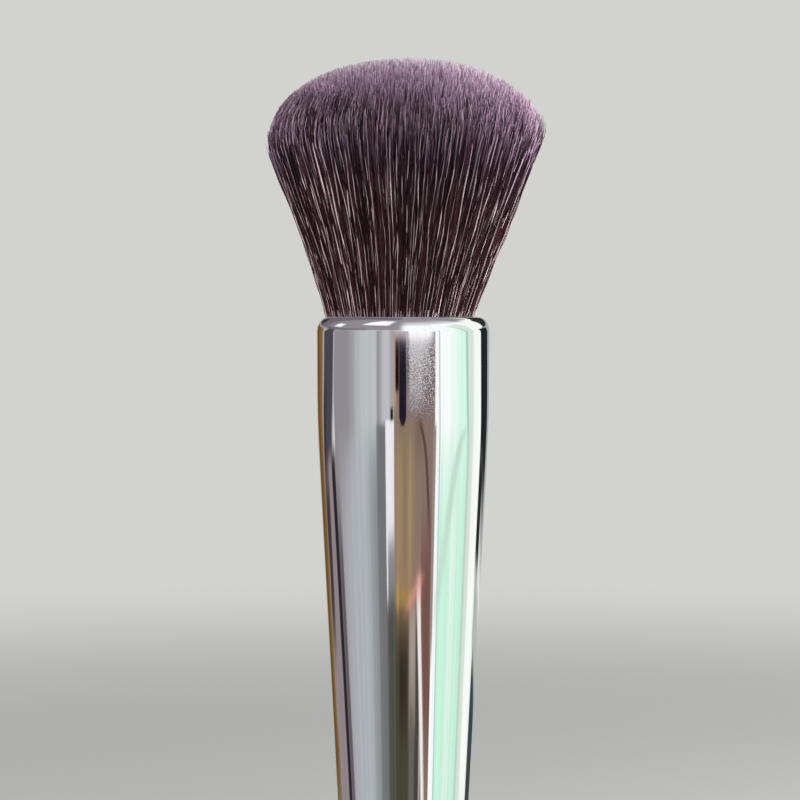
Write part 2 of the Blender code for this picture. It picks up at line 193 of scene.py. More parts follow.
# What the bright metal mirrors, painted in this order: a card's name, its numbers as labelled
# here, and its colour. It reaches between two azimuths, in degrees to the right of the camera's
# side, leans to the right by so many degrees for each degree below the level, and reaches
# between two elevations. The last two numbers are the softness of its sides and of its ends.
CARD_LABELS = ("Left", "Right", "Lean", "Lowest", "Highest", "Side", "End")
CARDS = (
    ("upper grey", -181, 181, 0, 9, 91, 1, 12, "8f8a91"),
    ("upper grey left", -181, -125, 0, 11, 91, 30, 10, "6f656b"),
    ("lip haze", 0, 104, 0, -5, 58, 20, 50, "ecebef"),
    ("lip shade left", -125, -50, 0, 8, 17, 14, 3, "6d696c"),
    ("lip dark left", -166, -148, 0, 12, 24, 4, 3, "37363c"),
    ("rear left", -181, -132, 0, -91, 8, 2, 5, "80705a"),
    ("ochre", -163, -140, 0, -14, 8, 9, 3, "6c4d22"),
    ("ochre side", -148, -138, 0, -13, 8, 7, 3, "805f39"),
    ("left edge", -181, -164, 0, -91, 9, 5, 3, "b7b2a9"),
    ("left light line", -135, -129.5, -1, -6, 9, 2, 3, "a89c93"),
    ("left light line low", -140.5, -135, 0, -13, -5, 2, 1.5, "93857a"),
    ("slate", -129.5, -105.5, -1.2, -7, 9, 1.5, 2, "48464f"),
    ("slate shade", -129.5, -122, -1.2, -8, -2, 4, 2, "383338"),
    ("left low", -135, -103, 0, -91, -6.5, 3, 1.5, "8f8487"),
    ("left low streak", -135, -124, -0.2, -11, -6.4, 5, 2.5, "3e3738"),
    ("rose grey", -105.5, -20, 0, -91, 10, 2, 8, "908b8f"),
    ("rose line", -105.5, -102.5, -1.2, -6.5, 8, 1, 2, "aea3a9"),
    ("rose grey low", -98, -60, 0, -91, -8, 10, 6, "a5a1a6"),
    ("left low shade", -114, -107, 0.9, -91, -9, 3, 3, "625a62"),
    ("left low dark", -122.5, -114.5, 0.9, -17, -6.5, 3, 1.5, "2a2329"),
    ("cool grey", -68, -5, 0, -91, 10, 30, 8, "babec1"),
    ("cool grey low", -84, -5, 0, -91, -8, 30, 6, "afb4b9"),
    ("grey fold", -46, -5, 0, -91, -8.5, 28, 5, "868a8c"),
    ("grey line", -35, -31, 0, -7, 7, 2.5, 2, "8f9195"),
    ("pale column", -31, -12, 0, -6.2, 9, 1.5, 3, "a19ea2"),
    ("pale column light", -28, -17, 0, -6.5, 9, 8, 3, "bfbdc2"),
    ("dark column", -36, -23, 0, -91, -6, 4, 1.5, "737376"),
    ("olive left", -23.5, -11.5, 0, -91, -11.8, 6, 0.8, "50504a"),
    ("olive", -12.5, 26, 0, -91, -13.4, 2, 0.6, "474438"),
    ("olive deep", -6, 6, 0, -17, -13.6, 5, 2, "352e26"),
    ("taupe", 9.5, 19, 0, -16.8, -13.4, 4, 1.2, "a3988f"),
    ("taupe low", 9.5, 18, 0, -91, -16, 4, 2.4, "68635c"),
    ("white strip", -23.7, -12, 0, -12.2, -5.6, 0.5, 0.5, "efe9ee"),
    ("strip fade", -21.6, -12, 0, -13.4, -11.8, 1.5, 1.2, "84868a"),
    ("strip line", -23.8, -21.8, 0, -13.4, -9, 0.9, 0.8, "efecf0"),
    ("tan", -12, 46, 0, -13.6, 0.5, 1, 0.3, "8b7567"),
    ("tan warm", -11, 14, 0, -13.4, -8.5, 8, 4, "9e8564"),
    ("tan seam", -1, 6, 0, -13, -5.8, 5, 2, "8a745e"),
    ("tan fold", 16, 28, 0, -9, -4.5, 7, 3, "7d675b"),
    ("rose right", 27, 46, 0, -91, -5, 4, 2, "88706a"),
    ("umber line", 4.5, 8, 2.8, -11.5, -5.5, 2.5, 2, "573d35"),
    ("rose low", 26, 46, 0, -17, -11.5, 4, 3, "74544c"),
    ("orange edge", -11, 12, 0, -13.7, -13.2, 3, 0.4, "a1854f"),
    ("orange line", -9, -6.5, 0, -13.8, -13.0, 1, 0.3, "c58f4a"),
    ("blush", 264.5, 272.5, -19, -13.8, -12.7, 5, 0.5, "cf8f7f"),
    ("blush light", 21, 26.5, 0, -13.9, -12.8, 4, 0.8, "eab4a8"),
    ("low white line", -6.5, -1, 2, -91, -13.4, 2.5, 1, "f2ebe9"),
    ("mauve", 4, 43.3, 0, -4.6, 2, 1.5, 4.5, "7d6f72"),
    ("mauve haze", 7, 26, 0, -3.4, 2, 9, 3.5, "aba3a9"),
    ("mauve haze high", 6, 33, 0, -1.2, 2, 12, 1.2, "d4ced4"),
    ("mauve glow", 1, 40, 0, -0.78, 6, 13, 0.4, "ffffff"),
    ("copper line", -12, -9.3, 0, -4, -0.6, 0.6, 2, "b79577"),
    ("black sliver", -10.2, -5.6, 0, -2.7, -0.78, 0.6, 0.2, "140c10"),
    ("navy", -5.2, 4.2, 0, -5.3, -0.74, 1.2, 0.3, "1f1b28"),
    ("navy tip", -4.4, 3.4, 0, -5.95, -3, 1.2, 0.4, "1f1b28"),
    ("navy point", -3, 2, 0, -6.4, -4, 1, 0.4, "1f1b28"),
    ("navy fringe", 5, 8.5, 0, -2.4, -0.8, 2, 1, "625c66"),
    ("top haze", -11, 7, 0, -0.70, 6, 2, 0.3, "b9b0b4"),
    ("small black", -16.8, -13.3, 0, -5.7, -4, 0.6, 0.5, "1c191d"),
    ("white", 43.2, 140, 0, -91, 45, 0.8, 14, "fafdfd"),
    ("white top", 0, 100, 0, 4.5, 38, 8, 5, "fafcfd"),
    ("mint", 76, 140, 0, -91, 30, 44, 16, "cff8e4"),
    ("mint low", 52, 140, 0, -91, -8.5, 4, 7, "c5f1d9"),
    ("mint pale", 70, 84, 0, -91, -9, 6, 4, "dcf5e6"),
    ("white edge low", 41, 45.4, 0, -14.5, -6, 1.2, 1.5, "958880"),
    ("sage line", 48.4, 50, 0.2, -91, 10, 0.8, 3, "a6c4b8"),
    ("white shade", 119.5, 127, -5.5, -13.2, -5.8, 6, 1.6, "c3ddcd"),
    ("pale sage", 93, 112, 0.6, -91, 36, 3, 5, "d8e4d9"),
    ("sage edge", 91.5, 95.5, 0.9, -7, 30, 1.5, 4, "b0c7b9"),
    ("sage edge low", 97, 101.5, 0.1, -91, -6.5, 3, 1.5, "c0d2c2"),
    ("cream", 108, 181, 0.35, -16, 40, 5, 3, "f8fbf5"),
    ("right grey", 140, 181, 0.75, -8, 10, 4, 3, "a9abab"),
    ("right black", 126.5, 153, 0.75, -6.5, 8, 2, 3, "1f2120"),
    ("right navy", 138, 143, 0.75, -6, 10, 3, 1.5, "272a35"),
    ("right black low", 131, 144, 0, -9, -5.5, 3, 1.5, "262824"),
    ("right grey low", 134, 181, 0, -10.9, -8.7, 3, 0.8, "b4b7b4"),
    ("right slate", 138, 181, 0, -91, -10.8, 4, 0.8, "3c4649"),
    ("lip dark right", 137, 176, 0, 9.5, 34, 5, 3, "2c302f"),
    ("high light left", -110, -96, 0, 21, 35, 6, 8, "ffffff"),
    ("high light centre", -66, -22, 0, 40, 74, 10, 8, "ffffff"),
)

# Lamps: azimuth, elevation, distance, width, height and the share of full daylight that each gives
LAMPS = (
    ("wide_lamp", 60, 20, 0.95, 0.90, 0.50, 0.36),
    ("right_lamp", 106, 7, 0.85, 0.40, 0.40, 4.00),
    ("left_lamp", -96, 1, 0.85, 0.30, 0.30, 1.30),
    ("front_lamp", -16, 5, 0.85, 0.45, 0.30, 0.86),
    ("top_lamp", 170, 70, 0.80, 0.50, 0.40, 0.20),
)


def length_of(label, about, default, low=0.0):
    """Setting for a length in metres."""
    return FloatProperty(name=label, description=about, default=default, min=low, unit="LENGTH")


def share_of(label, about, default):
    """Setting for a share or a level, where 1 is the whole."""
    return FloatProperty(name=label, description=about, default=default, min=0.0, subtype="FACTOR")


def count_of(label, about, default, low, high):
    """Setting for a count."""
    return IntProperty(name=label, description=about, default=default, min=low, max=high)


def colour_of(label, about, default):
    """Setting for a colour."""
    limits = {"min": 0.0, "max": 1.0, "subtype": "COLOR"}
    return FloatVectorProperty(name=label, description=about, default=default, **limits)


class StudioSettings(bpy.types.PropertyGroup):
    """Camera, lamps and backdrop."""

    eye_distance: length_of("Eye distance", "From the brush's axis to the camera", 0.300, 0.05)
    eye_aside: length_of("Eye aside", "How far the camera stands to the left of the axis", 0.00042)
    aim_drop: length_of("Aim drop", "How far below the rim the camera aims", 0.01155)
    lens: FloatProperty(
        name="Lens", description="Focal length on a 36 mm sensor",
        default=97.0, min=10.0, unit="CAMERA",
    )
    lamp_level: share_of("Lamp level", "All lamps together, as a share of their written strength", 1.0)
    lamp_cone: FloatProperty(
        name="Lamp cone", description="Angle of the cone that each lamp's light is held to",
        default=radians(80), min=radians(20), max=radians(170), unit="ROTATION",
    )
    sky_level: share_of("Sky level", "Even light from all round, where 1 is white", 0.30)
    backdrop: colour_of(
        "Backdrop", "Colour of the floor and of what is behind the brush", shade("d2d3cf")
    )


class FibreSettings(bpy.types.PropertyGroup):
    """Counts, widths and colours of the head's fibres."""

    dark_count: count_of("Dark fibres", "Dark fibres that fill the head", 12500, 1000, 60000)
    # The pale fibres' pale lengths are painted glints: light that the fibres catch, painted into their
    # colour
    pale_count: count_of(
        "Pale fibres", "Fibres among the dark ones that catch the light", 5000, 0, 30000
    )
    # The feet's pale colour is a painted glint: light that the plated lip throws up on them
    foot_count: count_of("Feet", "Short pale ends that stand up just inside the rim", 140, 0, 2000)
    locks: count_of("Locks", "Small locks that the fibres gather into", 1500, 10, 6000)
    strands: count_of("Strands", "Bunches of a few fibres that share a wave", 7000, 10, 20000)
    wisps: count_of("Wisps", "Stray fibres that stand away from the head's side", 1400, 0, 4000)
    width: length_of("Fibre width", "Width of a fibre below its taper", 0.00017, 0.00002)
    tip_width: length_of("Tip width", "Width of a fibre at its tip", 0.00007, 0.00001)
    # Colours by depth below the tip: the palest tips are the dye's pale ends with a painted glow of
    # light through the fine tips, and the steep fall to plum is partly painted shade between the
    # fibres
    tip_colour: colour_of("Tips", "Palest colour, at the very tips", shade("c8bcc4"))
    dark_tip: colour_of("Dark tips", "Colour at the tips of the dark fibres", shade("a3959f"))
    mauve: colour_of("Mauve", "Colour a few millimetres below the tips", shade("8a6f84"))
    plum: colour_of("Plum", "Dark colour of the fibres' middle", shade("2a1820"))
    root_colour: colour_of("Roots", "Colour near the rim", shade("2e171b"))
    # The pale fibres' colours below the tips are painted highlights: the glints along them
    below_tip: colour_of("Below the tips", "Pale fibres' colour below the mauve", shade("a99aa4"))
    glint: colour_of("Glints", "Palest lengths of the palest fibres", shade("cfbabd"))


class PlatingSettings(bpy.types.PropertyGroup):
    """Bright plating of the handle and of the end cap."""

    colour: colour_of("Plating", "Colour of the plating", (0.965, 0.97, 0.975))
    polish: share_of("Polished roughness", "Roughness where the plating is clean", 0.035)
    smear: share_of("Smeared roughness", "Roughness where the plating was handled", 0.06)
    round_steps: count_of("Steps round", "Faces round the handle", 192, 24, 512)


class RootSettings(bpy.types.PropertyGroup):
    """Finishes of the pieces that hold the fibres and balance the handle."""

    resin: colour_of("Resin", "Colour of the casting resin", shade("a06a2c"))
    thread: colour_of("Thread", "Colour of the waxed thread", shade("d8cfbb"))
    cup: colour_of("Cup", "Colour of the drawn cup", (0.80, 0.80, 0.80))
    sleeve: colour_of("Sleeve", "Colour of the plastic sleeve", shade("e1e0dc"))
    steel: colour_of("Steel", "Colour of the turned weight", (0.55, 0.55, 0.56))


# Node trees


def feed(tree, socket, value):
    """Link an output into a socket, or set the socket to a plain value."""
    if isinstance(value, bpy.types.NodeSocket):
        tree.links.new(value, socket)
    elif socket.type == "RGBA" and len(value) == 3:
        socket.default_value = (*value, 1)
    else:
        socket.default_value = value


def add_node(tree, kind, inputs=None, **settings):
    """Add a node, set its settings, and set or link its inputs by name or number."""
    made = tree.nodes.new(kind)
    for name, value in settings.items():
        setattr(made, name, value)
    for socket, value in (inputs or {}).items():
        feed(tree, made.inputs[socket], value)
    return made


def maths(tree, operation, *values):
    """Result of one Math node."""
    inputs = dict(enumerate(values))
    return add_node(tree, "ShaderNodeMath", inputs, operation=operation).outputs[0]


def product(tree, first, second):
    """Result of multiplying two values."""
    return maths(tree, "MULTIPLY", first, second)


def noise(tree, place, scale, detail=2.0):
    """Result of one noise texture."""
    inputs = {"Vector": place, "Scale": scale, "Detail": detail}
    return add_node(tree, "ShaderNodeTexNoise", inputs).outputs[0]


def mixed(tree, factor, first, second):
    """Result of mixing two colours."""
    mix = add_node(tree, "ShaderNodeMix", {0: factor, 6: first, 7: second}, data_type="RGBA")
    return mix.outputs[2]


def scaled(tree, colour, value):
    """Result of multiplying a colour by one value."""
    inputs = {0: colour, "Scale": value}
    return add_node(tree, "ShaderNodeVectorMath", inputs, operation="SCALE").outputs[0]


def mixed_shader(tree, factor, first, second):
    """Node that mixes two shader nodes."""
    inputs = {0: factor, 1: first.outputs[0], 2: second.outputs[0]}
    return add_node(tree, "ShaderNodeMixShader", inputs)


def spread(tree, value, low, high, to_low=0.0, to_high=1.0, smooth=True):
    """Result of mapping one range of a value to another, held at both ends."""
    kind = "SMOOTHSTEP" if smooth else "LINEAR"
    inputs = {0: value, 1: low, 2: high, 3: to_low, 4: to_high}
    return add_node(tree, "ShaderNodeMapRange", inputs, interpolation_type=kind).outputs[0]


def ramp(tree, value, *stops):
    """Result of a colour ramp with the given (place, colour) stops."""
    made = add_node(tree, "ShaderNodeValToRGB", {0: value})
    elements = made.color_ramp.elements
    for _ in stops[2:]:
        elements.new(1.0)
    for element, (place, colour) in zip(elements, stops):
        element.position = place
        element.color = (*colour, 1)
    return made.outputs[0]


def new_group(name, inputs, outputs):
    """Make a node group from its inputs' defaults, whose lengths give their kinds, and its outputs."""
    group = bpy.data.node_groups.new(name, "ShaderNodeTree")
    kinds = {1: "NodeSocketFloat", 3: "NodeSocketVector", 4: "NodeSocketColor"}
    for label, default in inputs.items():
        kind = kinds[np.size(default)]
        socket = group.interface.new_socket(label, in_out="INPUT", socket_type=kind)
        socket.default_value = default
    for label, kind in outputs.items():
        group.interface.new_socket(label, in_out="OUTPUT", socket_type=kind)
    entry = group.nodes.new("NodeGroupInput")
    result = group.nodes.new("NodeGroupOutput")
    return group, entry.outputs, result.inputs


def place_group(tree, group, inputs, label=""):
    """Add a node group to a tree with its own values and label."""
    return add_node(tree, "ShaderNodeGroup", inputs, node_tree=group, label=label).outputs


def new_material(name):
    """Make a material and its tree."""
    material = bpy.data.materials.new(name)
    material.use_nodes = True
    return material, material.node_tree


def dress(material, **sockets):
    """Set or link sockets of the material's Principled shader, and give the material back."""
    tree = material.node_tree
    for socket, value in sockets.items():
        feed(tree, tree.nodes["Principled BSDF"].inputs[socket.replace("_", " ")], value)
    return material


def card_group():
    """Group that lays one tinted card over what is behind it.

    The card covers a direction by the share of four smooth steps: one at each side, by the
    distance of the leaned azimuth from it, and one at each end, by that of the elevation.
    """
    inputs = {"Behind": (0, 0, 0, 1), "Card": (1, 1, 1, 1), "Azimuth": 0.0, "Elevation": 0.0}
    inputs.update(dict.fromkeys(CARD_LABELS, 1.0))
    tree, entry, result = new_group("tinted_card", inputs, {"Colour": "NodeSocketColor"})
    leaned = maths(tree, "MULTIPLY_ADD", entry["Elevation"], entry["Lean"], entry["Azimuth"])
    across = (leaned, "Left", "Right", "Side")
    along = (entry["Elevation"], "Lowest", "Highest", "End")
    shares = []
    for value, start, end, softness in (across, along):
        after = maths(tree, "SUBTRACT", value, entry[start])
        before = maths(tree, "SUBTRACT", entry[end], value)
        half = product(tree, entry[softness], 0.5)
        inside = maths(tree, "MINIMUM", after, before)
        shares.append(spread(tree, inside, product(tree, half, -1.0), half))
    cover = product(tree, *shares)
    feed(tree, result["Colour"], mixed(tree, cover, entry["Behind"], entry["Card"]))
    return tree


def smear_group():
    """Group for worn and handled metal.

    Soft clouds of noise and finer upright streaks give the smears, and both ends of the
    roughness are mixed by them. The height is a slight waviness of the surface.
    """
    inputs = {"Vector": (0, 0, 0), "Scale": 60.0, "Clean": 0.04, "Smeared": 0.12}
    outputs = {"Roughness": "NodeSocketFloat", "Height": "NodeSocketFloat"}
    tree, entry, result = new_group("handled_metal", inputs, outputs)
    cloud = noise(tree, entry["Vector"], entry["Scale"], 3.0)
    drawn = add_node(tree, "ShaderNodeMapping", {"Vector": entry["Vector"], "Scale": (9, 9, 0.8)})
    streak = noise(tree, drawn.outputs[0], product(tree, entry["Scale"], 2.0), 4.0)
    both = product(tree, spread(tree, cloud, 0.42, 0.68), spread(tree, streak, 0.35, 0.7))
    span = maths(tree, "SUBTRACT", entry["Smeared"], entry["Clean"])
    feed(tree, result["Roughness"], maths(tree, "MULTIPLY_ADD", both, span, entry["Clean"]))
    feed(tree, result["Height"], cloud)
    return tree


def line_group():
    """Group for tool lines that run round a turned piece or up a drawn one.

    Noise squeezed along one direction by the stretch gives lines square to that direction.
    """
    inputs = {"Vector": (0, 0, 0), "Stretch": (1, 1, 1), "Scale": 1000.0}
    tree, entry, result = new_group("tool_lines", inputs, {"Mask": "NodeSocketFloat"})
    both = {0: entry["Vector"], 1: entry["Stretch"]}
    squeezed = add_node(tree, "ShaderNodeVectorMath", both, operation="MULTIPLY").outputs[0]
    lines = noise(tree, squeezed, entry["Scale"], 5.0)
    feed(tree, result["Mask"], spread(tree, lines, 0.3, 0.7))
    return tree


def shared(name, make):
    """Node group of this name, made when it is first asked for."""
    return bpy.data.node_groups.get(name) or make()


def object_place(tree):
    """Object coordinates."""
    return add_node(tree, "ShaderNodeTexCoord").outputs["Object"]


def relief(tree, height, depth, strength):
    """Normal of a relief that this height gives."""
    inputs = {"Height": height, "Distance": depth, "Strength": strength}
    return add_node(tree, "ShaderNodeBump", inputs).outputs[0]


def fibre_finish(settings):
    """Crimped synthetic fibre: the depth below the tip and the tone of its column set the colour.

    Noise along the fibre, with another seed for each column, breaks the pale tones into short
    lengths of painted highlight: the glints that a crimped fibre catches are painted into its colour.
    """
    material, tree = new_material("plum_fibre")
    place = add_node(tree, "ShaderNodeUVMap", uv_map=FIBRE_MAP).outputs[0]
    parts = add_node(tree, "ShaderNodeSeparateXYZ", {0: place}).outputs
    column = maths(tree, "FLOOR", product(tree, parts[0], float(TONE_COLUMNS)))
    tone = maths(tree, "DIVIDE", column, float(TONE_COLUMNS - 1))
    share = parts[1]
    millimetres = MILLIMETRE / MAP_DEPTH
    seeded = {0: product(tree, column, 7.31), 1: maths(tree, "DIVIDE", share, millimetres), 2: 0.0}
    along = add_node(tree, "ShaderNodeCombineXYZ", seeded).outputs[0]
    crimp = spread(tree, noise(tree, along, 0.3, 1.5), 0.36, 0.60, 0.42, 1.0)
    # Dark fibres: the dye's mauve tips with a painted glow at the very tips, falling steeply to plum
    # as painted shade between the fibres below them
    dark = ramp(
        tree, share,
        (0.0, settings.dark_tip),
        (1.2 * millimetres, settings.mauve),
        (2.6 * millimetres, dimmed(settings.mauve, 0.36)),
        (4.6 * millimetres, settings.plum),
        (26.0 * millimetres, settings.root_colour),
    )
    # Pale fibres: a painted glow at the tips, then painted glints below them
    pale = ramp(
        tree, share,
        (0.0, settings.tip_colour),
        (1.2 * millimetres, dimmed(settings.mauve, 1.55)),
        (4.0 * millimetres, settings.below_tip),
        (10.0 * millimetres, settings.glint),
    )
    own = spread(tree, tone, 0.0, DARK_END, 0.1, 1.7, smooth=False)
    # Painted highlight: how far a pale fibre is lifted to its pale colour, in short glinting lengths
    painted_glint_share = product(tree, spread(tree, tone, 0.38, 1.0), crimp)
    colour = mixed(tree, painted_glint_share, scaled(tree, dark, own), pale)
    return dress(material, Base_Color=colour, Roughness=0.45, Specular_IOR_Level=0.04)


def plating_finish(settings):
    """Mirror plating with smears from handling and a faint waviness of the moulding below.

    A patch at the front, to the right of the middle, has a painted speckled reflection: the
    peaks of a fine noise are rougher there, and its hollows darken the colour.
    """
    material, tree = new_material("bright_plating")
    place = object_place(tree)
    inputs = {"Vector": place, "Scale": 70.0, "Clean": settings.polish, "Smeared": settings.smear}
    wear = place_group(tree, shared("handled_metal", smear_group), inputs)
    parts = add_node(tree, "ShaderNodeSeparateXYZ", {0: place}).outputs
    speckle_patch = 1.0
    for axis, start, full in SPECKLE_PATCH_EDGES:
        speckle_patch = product(tree, speckle_patch, spread(tree, parts[axis], start, full))
    speckle_noise = noise(tree, place, 6000.0, 0.0)
    dull = spread(tree, speckle_noise, 0.50, 0.66, 0.0, 0.24, smooth=False)
    roughness = maths(tree, "MULTIPLY_ADD", speckle_patch, dull, wear["Roughness"])
    # Painted reflection: the hollows of the fine noise darken the plating's colour in the patch
    dark = spread(tree, speckle_noise, 0.36, 0.54, -0.24, 0.0, smooth=False)
    colour = scaled(tree, settings.colour, maths(tree, "MULTIPLY_ADD", speckle_patch, dark, 1.0))
    normal = relief(tree, wear["Height"], 0.00002, 0.35)
    return dress(material, Base_Color=colour, Metallic=1.0, Roughness=roughness, Normal=normal)


def resin_finish(settings):
    """Clear amber resin over the cut fibre ends, which show as fine dark spots."""
    material, tree = new_material("amber_resin")
    place = object_place(tree)
    cells = add_node(tree, "ShaderNodeTexVoronoi", {"Vector": place, "Scale": 6000.0}).outputs[0]
    clouds = noise(tree, place, 500.0)
    clear = mixed(tree, clouds, dimmed(settings.resin, 0.6), settings.resin)
    colour = mixed(tree, spread(tree, cells, 0.25, 0.5), shade("2a181c"), clear)
    normal = relief(tree, cells, 0.00003, 0.5)
    return dress(material, Base_Color=colour, Roughness=0.24, Coat_Weight=0.4, Normal=normal)


def thread_finish(settings):
    """Waxed thread: fine fibres that follow the twist, read along and round the thread."""
    material, tree = new_material("waxed_thread")
    place = add_node(tree, "ShaderNodeUVMap", uv_map="thread_map").outputs[0]
    drawn = add_node(tree, "ShaderNodeMapping", {"Vector": place, "Scale": (900, 14, 1)})
    hairs = spread(tree, noise(tree, drawn.outputs[0], 1.0), 0.3, 0.7)
    colour = mixed(tree, hairs, dimmed(settings.thread, 0.55), settings.thread)
    normal = relief(tree, hairs, 0.00002, 0.6)
    return dress(material, Base_Color=colour, Roughness=0.75, Sheen_Weight=0.25, Normal=normal)


def lined_metal_finish(name, colour, stretch, scale, low, high):
    """Bare metal with tool lines that change its roughness and leave a fine relief."""
    material, tree = new_material(name)
    inputs = {"Vector": object_place(tree), "Stretch": stretch, "Scale": scale}
    lines = place_group(tree, shared("tool_lines", line_group), inputs)["Mask"]
    roughness = spread(tree, lines, 0.0, 1.0, low, high, smooth=False)
    colour = mixed(tree, lines, dimmed(colour, 0.82), colour)
    normal = relief(tree, lines, 0.00001, 0.5)
    return dress(material, Base_Color=colour, Metallic=1.0, Roughness=roughness, Normal=normal)


def plastic_finish(settings):
    """Plain moulded plastic with a faint cloudiness and the mould's fine grain."""
    material, tree = new_material("white_plastic")
    place = object_place(tree)
    clouds = noise(tree, place, 120.0)
    colour = mixed(tree, clouds, dimmed(settings.sleeve, 0.86), settings.sleeve)
    normal = relief(tree, noise(tree, place, 4000.0), 0.00002, 0.4)
    return dress(material, Base_Color=colour, Roughness=0.45, Normal=normal)


# Surfaces


def new_object(name, data):
    """Add an object to the scene, at the origin."""
    made = bpy.data.objects.new(name, data)
    bpy.context.scene.collection.objects.link(made)
    return made


def put_piece(name, points, face_sets, material, replaced):
    """Make a piece from its points and arrays of faces, and set it on the body."""
    mesh = bpy.data.meshes.new(name)
    corners = np.concatenate([faces.ravel() for faces in face_sets]).astype(np.int32)
    counts = np.concatenate([np.full(len(faces), faces.shape[1]) for faces in face_sets])
    mesh.vertices.add(len(points))
    mesh.vertices.foreach_set("co", points.astype(np.float32).ravel())
    mesh.loops.add(len(corners))
    mesh.loops.foreach_set("vertex_index", corners)
    mesh.polygons.add(len(counts))
    mesh.polygons.foreach_set("loop_start", (np.cumsum(counts) - counts).astype(np.int32))
    mesh.update(calc_edges=True)
    mesh.shade_smooth()
    mesh.materials.append(material)
    piece = new_object(name, mesh)
    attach(piece, "root")
    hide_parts(replaced)
    return piece


def put_map(piece, name, places):
    """Give a piece a UV map of one place for each face corner."""
    layer = piece.data.uv_layers.new(name=name)
    layer.data.foreach_set("uv", places.astype(np.float32).ravel())


def level_arrow(turn):
    """Level arrows of length 1 at some turns about the Z axis."""
    return np.stack([np.cos(turn), np.sin(turn)], axis=-1)


def ring_faces(rows, steps, closed):
    """Faces of a grid of rows by steps, joined round the steps, and from the last row to the first."""
    row = np.arange(rows if closed else rows - 1)[:, None]
    step = np.arange(steps)
    below = (row + 1) % rows
    beside = (step + 1) % steps
    corners = ((row, step), (below, step), (below, beside), (row, beside))
    return np.stack([(line * steps + place).ravel() for line, place in corners], axis=1)


def turned(name, outline, steps, material, replaced):
    """Turn an outline that runs down its outer side about the Z axis.

    A point of the surface is (radius cos turn, radius sin turn, height), for every point of
    the outline and every turn. An outline that starts and ends on the axis gets a pole there,
    and any other is closed into a ring.
    """
    outline = np.array(outline)
    poles = outline[0, 0] == 0
    body = outline[1:-1] if poles else outline
    turn = np.arange(steps) * tau / steps
    across = body[:, :1] * np.cos(turn)
    along = body[:, :1] * np.sin(turn)
    upright = np.repeat(body[:, 1:], steps, axis=1)
    points = np.stack([across, along, upright], axis=-1).reshape(-1, 3)
    face_sets = [ring_faces(len(body), steps, closed=not poles)]
    if poles:
        top = len(points)
        last = top - steps
        first = np.arange(steps)
        ahead = (first + 1) % steps
        points = np.concatenate([points, [[0, 0, outline[0, 1]], [0, 0, outline[-1, 1]]]])
        face_sets.append(np.stack([np.full(steps, top), first, ahead], axis=1))
        face_sets.append(np.stack([np.full(steps, top + 1), last + ahead, last + first], axis=1))
    piece = put_piece(name, points, face_sets, material, replaced)
    piece.data.set_sharp_from_angle(angle=SHARP_ANGLE)


def arc(centre_radius, centre_height, width, drop, start, end, count):
    """Points along part of an ellipse, from one angle to another, counted from the level."""
    turns = np.linspace(start, end, count)
    across = centre_radius + width * np.cos(turns)
    return list(zip(across, centre_height + drop * np.sin(turns)))


def handle_radius(height):
    """Outer radius of the handle: straight at the mouth, an eased shoulder, then a straight taper."""
    below = RIM - height - SHOULDER_DEPTH
    return MOUTH_RADIUS - TAPER * (below + np.sqrt(below**2 + SHOULDER_EASING**2)) / 2


def stations(top, bottom, coarse, fine):
    """Heights between two ends, with finer steps round the shoulder."""
    shoulder = RIM - SHOULDER_DEPTH
    even = np.linspace(top, bottom, coarse)
    round_shoulder = shoulder + np.linspace(3 * SHOULDER_EASING, -3 * SHOULDER_EASING, fine)
    inner = round_shoulder[(round_shoulder < top) & (round_shoulder > bottom)]
    return np.unique(np.concatenate([even, inner]))[::-1]


def wall_points(heights, inset=0.0):
    """Outline points of the handle's wall at some heights, inset from the outside."""
    return list(zip(handle_radius(heights) - inset, heights))


def shell_outline():
    """Lip, outer wall, lower edge, hollow, ledge, bore and inner edge of the handle.

    The steps down the outer wall start fine below the lip and widen.
    """
    lip_top = RIM - LIP_DROP
    lip_middle = handle_radius(lip_top) - LIP_WIDTH
    outline = arc(lip_middle, lip_top, LIP_WIDTH, LIP_DROP, pi / 2, 0, CURVE_STEPS)[:-1]
    end = SHELL_END + SEAM_ROUNDING
    outline += wall_points(lip_top - np.array([0, 0.0001, 0.0003, 0.0007, 0.0014]))
    outline += wall_points(stations(lip_top - 0.0024, end, CURVE_STEPS, CURVE_STEPS))
    edge = handle_radius(SHELL_END) - SEAM_ROUNDING
    outline += arc(edge, end, SEAM_ROUNDING, SEAM_ROUNDING, 0, -pi / 2, EDGE_STEPS)[1:]
    outline += wall_points(stations(LEDGE, SHELL_END, *HOLLOW_STEPS)[::-1], SHELL_WALL)
    outline.append((BORE_RADIUS, LEDGE))
    inner = BORE_RADIUS + LIP_EDGE
    top = RIM - LIP_EDGE
    outline += arc(inner, top, LIP_EDGE, LIP_EDGE, pi, pi / 2, BORE_EDGE_STEPS)[:-1]
    return outline


